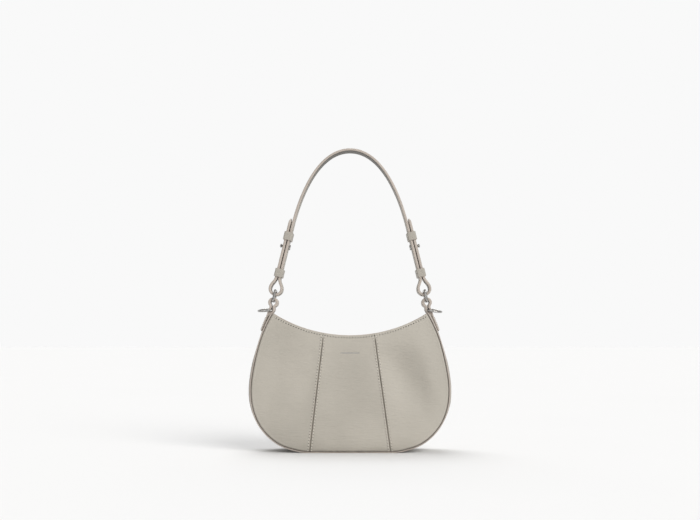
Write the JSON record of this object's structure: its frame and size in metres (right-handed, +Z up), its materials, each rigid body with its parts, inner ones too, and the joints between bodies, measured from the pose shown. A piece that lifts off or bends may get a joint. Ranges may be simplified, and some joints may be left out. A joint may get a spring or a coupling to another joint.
{
  "type": "hobo bag",
  "caption": "Small hobo shoulder bag of panelled leather with a curved zipped mouth, side tabs with D-rings, metal links and a folded strap held by sliding keepers and button studs.",
  "frame": {"origin": "middle of the base, on the surface the bag stands on", "axes": "+X to the right seen from the front, -Y out of the front panel, +Z up towards the strap"},
  "size_m": [0.258, 0.07, 0.3838],
  "materials": {
    "leather": "fine-grained semi-matte leather",
    "edge_rim": "painted, smooth, semi-matte edge",
    "strap_leather": "fine-grained leather with painted edges",
    "lining": "woven cotton twill",
    "zip_tape": "woven tape",
    "base_board": "fibre board",
    "metal": "polished nickel, slightly dark"
  },
  "bodies": {
    "bag": {"front_panel_left": "leather", "front_panel_center": "leather", "front_panel_right": "leather", "back_panel_left": "leather", "back_panel_center": "leather", "back_panel_right": "leather", "gusset": "leather", "front_rim": "edge_rim", "back_rim": "edge_rim", "front_facing": "leather", "back_facing": "leather", "lining_front": "lining", "lining_back": "lining", "lining_gusset": "lining", "inner_pocket": "lining", "base_board": "base_board", "zip_strip_front": "leather", "zip_strip_back": "leather", "zip_tape_front": "zip_tape", "zip_tape_back": "zip_tape", "zip_teeth_front": "metal", "zip_teeth_back": "metal", "zip_stops": "metal", "tab_left": "strap_leather", "tab_right": "strap_leather", "strap_loop_left": "strap_leather", "strap_loop_right": "strap_leather"},
    "handle": {"strap": "strap_leather", "strap_tail_left": "strap_leather", "strap_tail_right": "strap_leather", "stud_left": "metal", "stud_right": "metal", "stud_screw_left": "metal", "stud_screw_right": "metal"},
    "zip_slider": {"zip_slider": "metal"},
    "zip_pull": {"zip_pull": "metal"},
    "d_ring_left": {"d_ring_left": "metal"},
    "d_ring_right": {"d_ring_right": "metal"},
    "link_left": {"link_left": "metal"},
    "link_right": {"link_right": "metal"},
    "keeper_lower_left": {"keeper_lower_left": "leather"},
    "keeper_lower_right": {"keeper_lower_right": "leather"},
    "keeper_upper_left": {"keeper_upper_left": "leather"},
    "keeper_upper_right": {"keeper_upper_right": "leather"}
  },
  "joints": [
    {"name": "handle_fold", "type": "hinge", "parent": "bag", "child": "handle", "pos_m": [0, 0, 0.217], "axis": [1, 0, 0], "range_deg": [-90, 90], "deforming": ["strap_loop_left", "strap_loop_right"]},
    {"name": "link_left_rock", "type": "hinge", "parent": "bag", "child": "link_left", "pos_m": [-0.0973, 0, 0.19], "axis": [0, 1, 0], "range_deg": [-6, 6]},
    {"name": "link_right_rock", "type": "hinge", "parent": "bag", "child": "link_right", "pos_m": [0.0973, 0, 0.19], "axis": [0, 1, 0], "range_deg": [-6, 6]},
    {"name": "d_ring_left_swing", "type": "hinge", "parent": "bag", "child": "d_ring_left", "pos_m": [-0.0989, 0, 0.1796], "axis": [0, 1, 0], "range_deg": [-20, 60]},
    {"name": "d_ring_right_swing", "type": "hinge", "parent": "bag", "child": "d_ring_right", "pos_m": [0.0989, 0, 0.1796], "axis": [0, -1, 0], "range_deg": [-20, 60]},
    {"name": "keeper_lower_left_slide", "type": "slide", "parent": "handle", "child": "keeper_lower_left", "axis": [0.2402, 0, 0.9707], "range_m": [0, 0.022]},
    {"name": "keeper_upper_left_slide", "type": "slide", "parent": "handle", "child": "keeper_upper_left", "axis": [0.2402, 0, 0.9707], "range_m": [-0.004, 0.008]},
    {"name": "keeper_lower_right_slide", "type": "slide", "parent": "handle", "child": "keeper_lower_right", "axis": [-0.2402, 0, 0.9707], "range_m": [0, 0.022]},
    {"name": "keeper_upper_right_slide", "type": "slide", "parent": "handle", "child": "keeper_upper_right", "axis": [-0.2402, 0, 0.9707], "range_m": [-0.004, 0.008]},
    {"name": "zip_slide", "type": "hinge", "parent": "bag", "child": "zip_slider", "pos_m": [0, 0, 0.32917], "axis": [0, 1, 0], "range_deg": [0, 47]},
    {"name": "zip_pull_lift", "type": "hinge", "parent": "zip_slider", "child": "zip_pull", "pos_m": [0.07871, 0, 0.15853], "axis": [0, 1, 0], "range_deg": [0, 110]}
  ]
}
